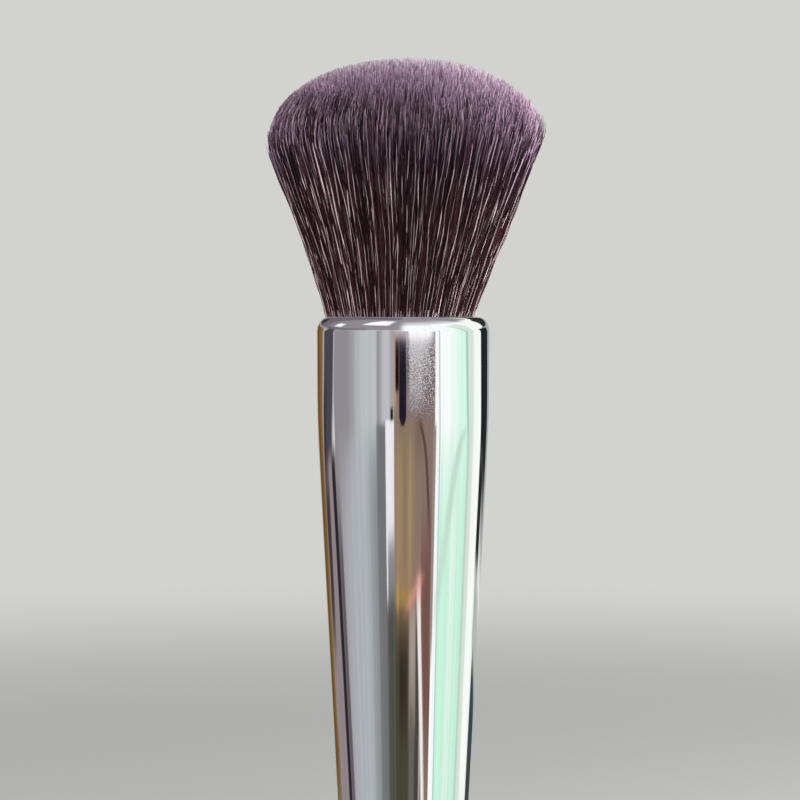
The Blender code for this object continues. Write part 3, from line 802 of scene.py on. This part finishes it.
def cap_outline():
    """Spigot with its glue groove, seat, rounded foot edge and flat foot of the end cap."""
    spigot = handle_radius(SHELL_END) - SHELL_WALL - FIT_GAP
    groove = spigot - GLUE_GROOVE_DEPTH
    middle = (CAP_HEIGHT + SPIGOT_TOP) / 2
    foot = handle_radius(0) - FOOT_ROUNDING
    outline = [
        (0, SPIGOT_TOP),
        (groove, SPIGOT_TOP),
        (spigot, SPIGOT_TOP - GLUE_GROOVE_DEPTH),
        (spigot, middle + GLUE_GROOVE_WIDTH / 2),
        (groove, middle + GLUE_GROOVE_WIDTH / 2),
        (groove, middle - GLUE_GROOVE_WIDTH / 2),
        (spigot, middle - GLUE_GROOVE_WIDTH / 2),
        (spigot, CAP_HEIGHT),
    ]
    edge = handle_radius(CAP_HEIGHT) - SEAM_ROUNDING
    top = CAP_HEIGHT - SEAM_ROUNDING
    outline += arc(edge, top, SEAM_ROUNDING, SEAM_ROUNDING, pi / 2, 0, EDGE_STEPS)
    outline += wall_points(np.linspace(top, FOOT_ROUNDING, CAP_WALL_STEPS)[1:-1])
    outline += arc(foot, FOOT_ROUNDING, FOOT_ROUNDING, FOOT_ROUNDING, 0, -pi / 2, FOOT_EDGE_STEPS)
    outline.append((0, 0))
    return outline


def thread_path(samples):
    """Middle line of the thread: a helix of one pitch a turn, from the waist's lower end."""
    turns = np.linspace(0, THREAD_TURNS, samples)
    radius = THREAD_BOX[1].x - THREAD_RADIUS
    lowest = THREAD_BOX[0].z + THREAD_RADIUS
    return np.column_stack([radius * level_arrow(tau * turns), lowest + THREAD_PITCH * turns])


def put_thread(material):
    """Wind the thread as a helix of three twisted plies.

    The radius round the middle line is least between two plies and full at each ply's back:
    it is less by the plies' depth, and more again by that depth times the size of the cosine of
    half the plies' angle, which turns along the thread by one turn for each length of twist.
    """
    samples = THREAD_TURNS * THREAD_STEPS + 1
    sides = THREAD_SIDES
    middle = thread_path(samples)
    ahead = np.gradient(middle, axis=0)
    length = np.linalg.norm(ahead, axis=1)
    ahead /= length[:, None]
    outward = middle * (1, 1, 0)
    outward /= np.linalg.norm(outward, axis=1)[:, None]
    upward = np.cross(ahead, outward)
    distance = np.cumsum(length)
    angle = tau * np.arange(sides) / sides
    ply = THREAD_PLIES * (angle - tau * distance[:, None] / THREAD_TWIST) / 2
    radius = THREAD_RADIUS * (1 - PLY_DEPTH + PLY_DEPTH * np.abs(np.cos(ply)))
    across = (radius * np.cos(angle))[..., None] * outward[:, None]
    along = (radius * np.sin(angle))[..., None] * upward[:, None]
    points = (middle[:, None] + across + along).reshape(-1, 3)
    quads = ring_faces(samples, sides, closed=False)[:, ::-1]
    first = np.arange(sides)
    caps = np.stack([first[::-1], len(points) - sides + first])
    faces = [quads, caps]
    piece = put_piece("waxed_thread", points, faces, material, "binding_thread")
    row = quads // sides
    step = quads % sides
    wrapped = np.where((step == 0) & (step.max(axis=1, keepdims=True) == sides - 1), sides, step)
    along = np.stack([wrapped / sides, row / samples], axis=-1).reshape(-1, 2)
    cap = 0.5 + 0.4 * level_arrow(angle)
    put_map(piece, "thread_map", np.concatenate([along, cap[::-1], cap]))


# Fibres


def grown(value, start, full):
    """Share of the way from where something starts to where it is full, held at both."""
    return np.clip((value - start) / (full - start), 0, 1)


def fan_radius(height):
    """Outer radius of the bundle at a height above the rim.

    It is a straight flare from the roots, less a waist: the sine of the climb's half turn,
    times what is left of the climb.
    """
    climb = height / WIDEST_HEIGHT
    held = np.clip(climb, 0, 1)
    waist = WAIST_SHARE * np.sin(pi * held) * (1 - held)
    return BUNDLE_RADIUS + (WIDEST_RADIUS - BUNDLE_RADIUS) * (climb - waist)


def tip_heights(shares):
    """Height at which a fibre that keeps this share of the flare's radius meets the dome."""
    angle = np.linspace(0, pi / 2, DOME_SAMPLES)
    heights = WIDEST_HEIGHT + DOME_RISE * np.sin(angle) ** (2 / DOME_SQUARENESS)
    kept = dome_radius(heights) / fan_radius(heights)
    return np.interp(shares, kept[::-1], heights[::-1])


def dome_radius(height):
    """Radius of the dome at a height above the rim, and its widest radius below the dome."""
    climb = np.clip((height - WIDEST_HEIGHT) / DOME_RISE, 0, 1)
    return WIDEST_RADIUS * (1 - climb**DOME_SQUARENESS) ** (1 / DOME_SQUARENESS)


def spiral(count):
    """Even spiral over a disc of radius 1: a point's radius is the root of its rank's share."""
    rank = np.arange(count) + 0.5
    return np.sqrt(rank / count)[:, None] * level_arrow(rank * GOLDEN_TURN)


def nearest(points, centres, block=2000):
    """Number of the nearest centre to each point, worked out for a block of points at a time."""
    found = []
    for start in range(0, len(points), block):
        apart = points[start : start + block, None] - centres[None]
        found.append((apart**2).sum(axis=2).argmin(axis=1))
    return np.concatenate(found)


def wave_traits(count, size, length, chance):
    """Size, length, start and direction of the sideways wave of each of some lines."""
    sizes = size * chance.uniform(0.3, 1.0, count)
    lengths = length * chance.uniform(0.7, 1.4, count)
    return np.stack([sizes, lengths, chance.random(count) * tau, chance.random(count) * tau])


def wander(height, waves):
    """Sideways drift at some heights: the sine of the height over the wave's length."""
    size, length, start, turn = waves[..., None]
    drift = size * np.sin(tau * height / length + start)
    return drift[..., None] * level_arrow(turn)


def fibre_lines(roots, lengths, reach, bunches, steps, chance):
    """Middle lines of fibres from the resin to their tips.

    A line keeps its place on the unit disc of roots, scaled by the flare at each height. It is
    drawn towards its lock's middle as it rises, shares its lock's tilt and its strand's slow
    wave, and has a crimp of its own. The waves start from nothing at the rim. A line that would
    leave the dome bends over along it: its distance from the axis is a smooth least of its own
    and of the dome's radius with the line's reach added.
    """
    locks, strands = bunches
    lock = nearest(roots, locks["middle"])
    strand = nearest(roots, strands["middle"])
    climb = np.linspace(0, 1, steps) ** 0.85
    height = -RESIN_DEPTH + (lengths + RESIN_DEPTH)[:, None] * climb
    lift = np.clip(height / HEAD_HEIGHT, 0, None)
    free = grown(height, 0, WAVE_START)[..., None]
    gather = (locks["pull"][lock, None] * lift**1.5)[..., None]
    disc = roots[:, None] + gather * (locks["middle"][lock] - roots)[:, None]
    place = disc * fan_radius(height)[..., None]
    tilt = locks["tilt"][lock][:, None] * (lift**2)[..., None]
    slow = wander(height, strands["waves"][:, strand])
    crimp = wander(height, wave_traits(len(roots), *CRIMP, chance))
    place = place + tilt + free * (slow + crimp)
    apart = np.linalg.norm(place, axis=2)
    limit = dome_radius(height) + np.reshape(reach, (-1, 1))
    held = (apart + limit - np.sqrt((apart - limit) ** 2 + BEND**2)) / 2
    place *= (np.clip(held, 0, None) / np.maximum(apart, BEND))[..., None]
    place[..., 0] += ROOT_LEAN * grown(lift, 0.3, 0) + HEAD_LEAN * lift**4
    upright = RIM + height + DOME_TILT * place[..., 0] * lift
    return np.concatenate([place, upright[..., None]], axis=2)


def put_fibres(name, lines, tones, inset, fineness, settings, material, chance):
    """Tubes of three sides along middle lines, drawn out to fine tips.

    A ring lies square to the line: its two arrows are the cross product of the line's
    direction with a level arrow of the fibre's own, and the cross product of both. Its width
    grows from the tip's over the taper. The map's column is the fibre's tone, and the map's
    height is the depth below the tip, plus an inset by which the tip's colours are passed over.
    """
    count, rings = lines.shape[:2]
    sides = 3
    ahead = np.gradient(lines, axis=1)
    ahead /= np.linalg.norm(ahead, axis=2, keepdims=True)
    steps = np.linalg.norm(np.diff(lines, axis=1), axis=2)
    climbed = np.concatenate([np.zeros((count, 1)), np.cumsum(steps, axis=1)], axis=1)
    depth = climbed[:, -1:] - climbed
    turn = chance.random(count) * tau
    level = np.column_stack([level_arrow(turn), np.zeros(count)])
    first = np.cross(ahead, level[:, None])
    first /= np.linalg.norm(first, axis=2, keepdims=True)
    second = np.cross(ahead, first)
    taper = grown(depth, 0, TIP_TAPER) ** 0.7
    fullness = settings.tip_width + (settings.width - settings.tip_width) * taper
    fullness *= ROOT_WIDTH + (1 - ROOT_WIDTH) * grown(climbed, 0, ROOT_TAPER)
    fullness *= fineness * chance.uniform(0.85, 1.2, (count, 1))
    angle = tau * np.arange(sides) / sides
    arrows = np.cos(angle)[:, None] * first[:, :, None]
    arrows += np.sin(angle)[:, None] * second[:, :, None]
    points = lines[:, :, None] + fullness[..., None, None] / 2 * arrows
    base = (np.arange(count) * rings * sides)[:, None, None]
    ring = (np.arange(rings - 1) * sides)[:, None]
    side = np.arange(sides)
    ahead_side = (side + 1) % sides
    here = base + ring + side
    here_on = base + ring + ahead_side
    quads = np.stack([here, here_on, here_on + sides, here + sides], axis=-1).reshape(-1, 4)
    root = base[:, 0, :] + np.array([0, 2, 1])
    tip = base[:, 0, :] + (rings - 1) * sides + side
    points = points.reshape(-1, 3)
    piece = put_piece(name, points, [quads, root, tip], material, "bristles")
    column = np.floor(np.clip(tones, 0, 0.999) * TONE_COLUMNS)
    span = 0.1 + 0.8 * np.arange(sides + 1) / sides
    across = (column[:, None] + span) / TONE_COLUMNS
    # The inset passes over the tip's colours: on the head it paints shade on the front fibres' tips,
    # and on the feet it reaches the painted glint colour
    down = np.clip((depth + np.reshape(inset, (-1, 1))) / MAP_DEPTH, 0, 1)
    low, high = down[:, :-1, None], down[:, 1:, None]
    left, right = across[:, None, :-1], across[:, None, 1:]
    corners = ((left, low), (right, low), (right, high), (left, high))
    pairs = [np.stack(np.broadcast_arrays(*corner), axis=-1) for corner in corners]
    quad_places = np.stack(pairs, axis=-2)
    lift = np.array([0, 0.004, 0.002])
    root_places = np.stack([across[:, :sides], down[:, :1] - lift], axis=-1)
    tip_places = np.stack([across[:, :sides], down[:, -1:] + lift], axis=-1)
    maps = [places.reshape(-1, 2) for places in (quad_places, root_places, tip_places)]
    put_map(piece, FIBRE_MAP, np.concatenate(maps))
    piece.visible_glossy = False


def lock_traits(count, chance):
    """Middle, pull towards it, sideways tilt, tone and further length of each lock."""
    return {
        "middle": spiral(count),
        "pull": chance.uniform(0.05, 0.45, count),
        "tilt": chance.normal(0, LOCK_TILT, (count, 2)),
        "tone": chance.random(count),
        "length": chance.normal(0, LOCK_UNEVENNESS, count),
    }


def strand_traits(count, chance):
    """Middle and slow wave of each strand."""
    return {"middle": spiral(count), "waves": wave_traits(count, *STRAND_WAVE, chance)}


def put_in_parts(name, lines, tones, tip_shade_insets, settings, material, chance):
    """Put fibres in several pieces, so that none grows too large."""
    for number, rows in enumerate(np.array_split(np.arange(len(lines)), HEAD_PARTS), start=1):
        traits = (tones[rows], tip_shade_insets[rows], 1.0)
        put_fibres(f"{name}_{number}", lines[rows], *traits, settings, material, chance)


def put_head(settings, material):
    """Core, coat, wisps and feet of the head.

    The roots lie on two even spirals over a disc of radius 1, each moved a little at random. A
    root's share is its distance from the middle, and its side is -1 at the left and 1 at the
    right. A fibre ends at the dome, less up to 0.9 mm. From a share of 0.70 outward it grows
    longer by up to 3.2 mm less 1.6 mm times its side, to be bent over, and from 0.90 shorter by
    up to 2.5 mm plus 1.5 mm times its side. It may reach past the dome by 0.25 mm times its
    side and, at the right, 0.7 mm times the side's cube, less up to 0.3 mm plus 1.3 mm times
    its square. The tip's colours are passed over from a share of 0.45 outward, by about 2.2 mm
    times 1 less the side's fourth power and times 1 less 0.45 times the side: this paints shade
    on the tips of the front and back fibres, none at the left and right edges. Pale fibres take
    the high tones, which carry painted glints, and dark ones the low, and both are a little
    higher inside a share of 0.95.
    """
    chance = np.random.default_rng(HEAD_SEED)
    locks = lock_traits(settings.locks, chance)
    strands = strand_traits(settings.strands, chance)
    roots = np.concatenate([spiral(settings.dark_count), spiral(settings.pale_count)])
    count = len(roots)
    roots += chance.normal(0, 0.4 / sqrt(count), roots.shape)
    pale = np.arange(count) >= settings.dark_count
    share = np.linalg.norm(roots, axis=1)
    roots /= np.maximum(share, 1)[:, None]
    share = np.minimum(share, 1)
    side = roots[:, 0]
    right = np.clip(side, 0, 1)
    lock = nearest(roots, locks["middle"])
    lengths = tip_heights(share) + locks["length"][lock]
    lengths -= 0.9 * MILLIMETRE * chance.random(count) ** 2
    lengths += grown(share, 0.70, 1) * (3.2 - 1.6 * side) * MILLIMETRE * chance.random(count)
    lengths -= grown(share, 0.90, 1) * (2.5 + 1.5 * side) * MILLIMETRE * chance.random(count) ** 2
    own = (1 - LOCK_TONE) * chance.random(count) + LOCK_TONE * locks["tone"][lock]
    # The pale fibres take the high tones, whose pale lengths are painted glints
    tones = np.where(pale, PALE_START + (1 - PALE_START) * own**1.3, DARK_END * own)
    tones += 0.15 * grown(share, 0.95, 0.80) * (1 - tones)
    # Painted shade on the fibres' tips: their tip colours are passed over, most at the front and back
    # middles, none at the left and right edges, and less to the right than to the left
    tip_shade_insets = grown(share, 0.45, 1) * (1 - side**4) * (1 - 0.45 * side)
    tip_shade_insets *= 2.2 * MILLIMETRE * chance.uniform(0.2, 1.8, count)
    reach = 0.25 * side + 0.7 * right**3 - (0.3 + 1.3 * right**2) * chance.random(count) ** 2
    reach *= MILLIMETRE
    bunches = (locks, strands)
    coat = share > COAT_START
    layers = (("bristle_core", ~coat, CORE_STEPS), ("bristle_coat", coat, COAT_STEPS))
    for name, chosen, steps in layers:
        lines = fibre_lines(roots[chosen], lengths[chosen], reach[chosen], bunches, steps, chance)
        put_in_parts(name, lines, tones[chosen], tip_shade_insets[chosen], settings, material, chance)
    put_wisps(bunches, settings, material, chance)
    put_feet(bunches, settings, material, chance)


def edge_roots(count, low, high, chance):
    """Random places round the edge of the disc: their sides, and roots close to them."""
    arrows = level_arrow(chance.random(count) * tau)
    return arrows[:, 0], arrows * chance.uniform(low, high, (count, 1))


def put_feet(bunches, settings, material, chance):
    """Short ends round the bundle's foot, a little above the rim, in painted glints of the lip's
    light.
    """
    count = settings.foot_count
    roots = edge_roots(count, 0.995, 1.01, chance)[1]
    lengths = chance.uniform(0.3, 1.2, count) * MILLIMETRE
    lines = fibre_lines(roots, lengths, 0.0, bunches, FEET_STEPS, chance)
    # The 12 mm inset gives the feet the glint colour: painted glints of the lip's light
    traits = (chance.uniform(0.6, 1.0, count), 12 * MILLIMETRE, 1.1)
    put_fibres("bristle_feet", lines, *traits, settings, material, chance)


def put_wisps(bunches, settings, material, chance):
    """Stray fibres at the head's side, which stand off furthest to the right."""
    count = settings.wisps
    side, roots = edge_roots(count, 0.97, 1.0, chance)
    lengths = tip_heights(np.full(count, 0.98)) * chance.uniform(0.85, 1.1 + 0.05 * side)
    reach = (0.75 + 0.5 * side) * chance.uniform(-0.5, 1.0, count) * MILLIMETRE
    lines = fibre_lines(roots, lengths, reach, bunches, WISP_STEPS, chance)
    traits = (chance.uniform(0.0, 0.5, count), 1.6 * MILLIMETRE, 0.4)
    put_fibres("bristle_wisps", lines, *traits, settings, material, chance)


def put_resin_slice(material):
    """Slice of resin that the fibres are rooted in."""
    top = RIM - RESIN_DEPTH
    bottom = top - RESIN_SLICE
    edge = RESIN_EDGE
    outline = [(0, top), (RESIN_RADIUS - edge, top)]
    outline += arc(RESIN_RADIUS - edge, top - edge, edge, edge, pi / 2, 0, EDGE_STEPS)[1:]
    outline += [(RESIN_RADIUS, bottom), (0, bottom)]
    turned("resin_slice", outline, RESIN_SIDES, material, "bristles")


# Studio


def toward(azimuth, elevation):
    """Arrow to an azimuth to the right of the camera's side and an elevation, in degrees."""
    turn, rise = radians(azimuth), radians(elevation)
    return Vector((sin(turn) * cos(rise), -cos(turn) * cos(rise), sin(rise)))


def put_lamps(settings):
    """Soft square lamps round the head, each aimed at it.

    A lamp of power P at distance d gives a facing surface P over pi d squared, and a surface
    looks as bright as its colour when that is pi. The lamps' light is held to a cone, which
    makes its middle stronger by t over t less a, where a is half the cone's angle and t its
    tangent.
    """
    aim = Vector((0, 0, RIM + HEAD_HEIGHT / 3))
    half = settings.lamp_cone / 2
    focus = tan(half) / (tan(half) - half)
    for name, azimuth, elevation, distance, width, height, share in LAMPS:
        data = bpy.data.lights.new(name, "AREA")
        data.shape = "RECTANGLE"
        data.size = width
        data.size_y = height
        data.spread = settings.lamp_cone
        data.energy = settings.lamp_level * share * pi**2 * distance**2 / focus
        lamp = new_object(name, data)
        arrow = toward(azimuth, elevation)
        lamp.location = aim + distance * arrow
        lamp.rotation_euler = arrow.to_track_quat("Z", "Y").to_euler()
        lamp.visible_glossy = False


def put_world(settings):
    """World: the backdrop for the camera, the tinted cards for bright metal, an even sky for light."""
    world = bpy.data.worlds.new("studio")
    bpy.context.scene.world = world
    world.use_nodes = True
    tree = world.node_tree
    tree.nodes.clear()
    arrow = add_node(tree, "ShaderNodeTexCoord").outputs["Generated"]
    parts = add_node(tree, "ShaderNodeSeparateXYZ", {0: arrow}).outputs
    back = product(tree, parts[1], -1.0)
    azimuth = maths(tree, "DEGREES", maths(tree, "ARCTAN2", parts[0], back))
    elevation = maths(tree, "DEGREES", maths(tree, "ARCSINE", parts[2]))
    group = shared("tinted_card", card_group)
    colour = add_node(tree, "ShaderNodeRGB").outputs[0]
    colour.default_value = (*settings.backdrop, 1)
    for name, *numbers, code in CARDS:
        inputs = {"Behind": colour, "Card": shade(code), "Azimuth": azimuth, "Elevation": elevation}
        inputs.update(zip(CARD_LABELS, numbers))
        colour = place_group(tree, group, inputs, name)["Colour"]
    slow = product(tree, elevation, 0.08)
    spot = add_node(tree, "ShaderNodeCombineXYZ", {0: azimuth, 1: slow}).outputs[0]
    streaks = spread(tree, noise(tree, spot, 0.35, 3.0), 0.3, 0.7, 0.9, 1.04, smooth=False)
    colour = scaled(tree, colour, streaks)
    path = add_node(tree, "ShaderNodeLightPath").outputs
    seen = maths(tree, "MAXIMUM", path["Is Camera Ray"], path["Is Transmission Ray"])
    sky = add_node(tree, "ShaderNodeBackground", {"Color": (1, 1, 1), "Strength": settings.sky_level})
    cards = add_node(tree, "ShaderNodeBackground", {"Color": colour, "Strength": CARD_LEVEL})
    plain = add_node(tree, "ShaderNodeBackground", {"Color": settings.backdrop})
    lit = mixed_shader(tree, path["Is Glossy Ray"], sky, cards)
    add_node(tree, "ShaderNodeOutputWorld", {0: mixed_shader(tree, seen, lit, plain).outputs[0]})


def put_floor(settings):
    """Pale floor whose far part gives way to the backdrop, and sooner so in the bright metal."""
    colour = dimmed(settings.backdrop, FLOOR_SHADE)
    material, tree = new_material("pale_floor")
    dress(material, Base_Color=colour, Roughness=0.85)
    place = object_place(tree)
    flat = add_node(tree, "ShaderNodeVectorMath", {0: place, 1: (1, 1, 0)}, operation="MULTIPLY")
    length = add_node(tree, "ShaderNodeVectorMath", {0: flat.outputs[0]}, operation="LENGTH")
    away = length.outputs["Value"]
    path = add_node(tree, "ShaderNodeLightPath").outputs
    seen = product(tree, path["Is Camera Ray"], spread(tree, away, *SEEN_FADE))
    mirrored = product(tree, path["Is Glossy Ray"], spread(tree, away, *MIRRORED_FADE))
    gone = maths(tree, "MAXIMUM", seen, mirrored)
    clear = add_node(tree, "ShaderNodeBsdfTransparent")
    shown = mixed_shader(tree, gone, tree.nodes["Principled BSDF"], clear)
    feed(tree, tree.nodes["Material Output"].inputs["Surface"], shown.outputs[0])
    rim = FLOOR_RADIUS * level_arrow(np.arange(FLOOR_SIDES) * tau / FLOOR_SIDES)
    corners = np.column_stack([rim, np.zeros(FLOOR_SIDES)])
    mesh = bpy.data.meshes.new("floor")
    mesh.from_pydata(corners.tolist(), [], [list(range(FLOOR_SIDES))])
    mesh.materials.append(material)
    floor = new_object("floor", mesh)


def put_camera(settings):
    """Camera at the rim's level, in front of the brush, aimed a little below the rim."""
    data = bpy.data.cameras.new("camera")
    data.lens = settings.lens
    data.clip_start = 0.01
    data.clip_end = 20.0
    camera = new_object("camera", data)
    camera.location = (-settings.eye_aside, -settings.eye_distance, RIM)
    camera.rotation_euler = Euler((pi / 2 - atan(settings.aim_drop / settings.eye_distance), 0, 0))
    bpy.context.scene.camera = camera


# Operators, panel and registration


class MAKEUP_BRUSH_OT_studio(bpy.types.Operator):
    """Set up the camera, the lamps, the floor and the backdrop"""

    bl_idname = "makeup_brush.studio"
    bl_label = "Studio"

    def execute(self, context):
        """Build the stage."""
        settings = context.scene.brush_studio
        put_camera(settings)
        put_world(settings)
        put_lamps(settings)
        put_floor(settings)
        context.scene.view_settings.view_transform = "Standard"
        return {"FINISHED"}


class MAKEUP_BRUSH_OT_handle(bpy.types.Operator):
    """Turn the plated handle and its end cap"""

    bl_idname = "makeup_brush.handle"
    bl_label = "Handle and end cap"

    def execute(self, context):
        """Build both plated pieces."""
        settings = context.scene.brush_plating
        material = plating_finish(settings)
        steps = settings.round_steps
        turned("plated_handle", shell_outline(), steps, material, "handle_shell")
        turned("plated_cap", cap_outline(), steps, material, "end_cap")
        return {"FINISHED"}


class MAKEUP_BRUSH_OT_roots(bpy.types.Operator):
    """Wind the thread, and finish the cup, resin, sleeve and weight"""

    bl_idname = "makeup_brush.roots"
    bl_label = "Roots, thread and weight"

    def execute(self, context):
        """Build the thread and give the hidden pieces their finishes."""
        settings = context.scene.brush_roots
        resin = resin_finish(settings)
        put_thread(thread_finish(settings))
        put_resin_slice(resin)
        finishes = {
            "root_block": resin,
            "knot_cup": lined_metal_finish("drawn_aluminium", settings.cup, *DRAWN_LINES),
            "spacer_sleeve": plastic_finish(settings),
            "counterweight": lined_metal_finish("turned_steel", settings.steel, *LATHE_RINGS),
        }
        for name, material in finishes.items():
            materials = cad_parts[name].data.materials
            materials.clear()
            materials.append(material)
        return {"FINISHED"}


class MAKEUP_BRUSH_OT_bristles(bpy.types.Operator):
    """Grow the head of crimped fibres"""

    bl_idname = "makeup_brush.bristles"
    bl_label = "Bristles"

    def execute(self, context):
        """Build every fibre of the head."""
        settings = context.scene.brush_fibres
        put_head(settings, fibre_finish(settings))
        return {"FINISHED"}


class MAKEUP_BRUSH_PT_panel(bpy.types.Panel):
    """Sidebar panel that lists the brush's pieces"""

    bl_idname = "MAKEUP_BRUSH_PT_panel"
    bl_label = "Makeup Brush"
    bl_space_type = "VIEW_3D"
    bl_region_type = "UI"
    bl_category = "Makeup Brush"

    def draw(self, context):
        """Show the operators and every setting."""
        layout = self.layout
        for operator in OPERATORS:
            layout.operator(operator.bl_idname)
        for name, settings in SETTINGS.items():
            box = layout.box()
            box.label(text=settings.__doc__)
            for label in settings.__annotations__:
                box.prop(getattr(context.scene, name), label)


SETTINGS = {
    "brush_studio": StudioSettings,
    "brush_plating": PlatingSettings,
    "brush_roots": RootSettings,
    "brush_fibres": FibreSettings,
}
OPERATORS = (
    MAKEUP_BRUSH_OT_studio,
    MAKEUP_BRUSH_OT_handle,
    MAKEUP_BRUSH_OT_roots,
    MAKEUP_BRUSH_OT_bristles,
)


def register():
    """Register the settings, the operators and the panel."""
    for name, settings in SETTINGS.items():
        bpy.utils.register_class(settings)
        setattr(bpy.types.Scene, name, PointerProperty(type=settings))
    for operator in (*OPERATORS, MAKEUP_BRUSH_PT_panel):
        bpy.utils.register_class(operator)


def unregister():
    """Take the panel, the operators and the settings out again."""
    for operator in (MAKEUP_BRUSH_PT_panel, *reversed(OPERATORS)):
        bpy.utils.unregister_class(operator)
    for name, settings in SETTINGS.items():
        delattr(bpy.types.Scene, name)
        bpy.utils.unregister_class(settings)


def main():
    """Build the stage and every piece."""
    register()
    bpy.ops.makeup_brush.studio()
    bpy.ops.makeup_brush.handle()
    bpy.ops.makeup_brush.roots()
    bpy.ops.makeup_brush.bristles()


if __name__ == "__main__":
    main()
